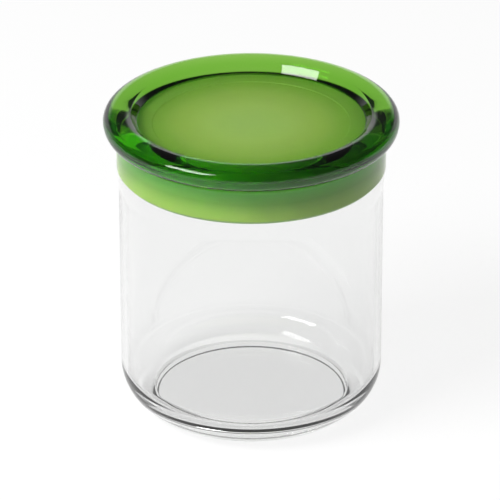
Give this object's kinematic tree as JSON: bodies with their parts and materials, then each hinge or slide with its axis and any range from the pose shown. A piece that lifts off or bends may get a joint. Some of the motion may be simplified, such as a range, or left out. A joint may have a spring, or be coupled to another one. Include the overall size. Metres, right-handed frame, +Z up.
{
  "type": "lidded glass jar",
  "caption": "Round clear glass jar with a clear green push-in lid, for keeping small tools in disinfectant or dry goods on a counter.",
  "frame": {"origin": "centre of the jar's foot, on the surface it stands on", "axes": "+Z up along the jar's axis; the jar is round, so X and Y are free"},
  "size_m": [0.1168, 0.1168, 0.1274],
  "materials": {
    "clear_glass": "polished",
    "green_clear_plastic": "polished transparent",
    "milky_plastic": "matt, translucent",
    "seal": "soft, milky green, matt"
  },
  "bodies": {
    "jar": {"glass_jar": "clear_glass"},
    "lid": {"lid_cover": "green_clear_plastic", "lid_liner": "milky_plastic", "seal_sleeve": "seal"}
  },
  "joints": [
    {"name": "lid_lift", "type": "slide", "parent": "jar", "child": "lid", "axis": [0, 0, 1], "range_m": [0, 0.12]}
  ]
}
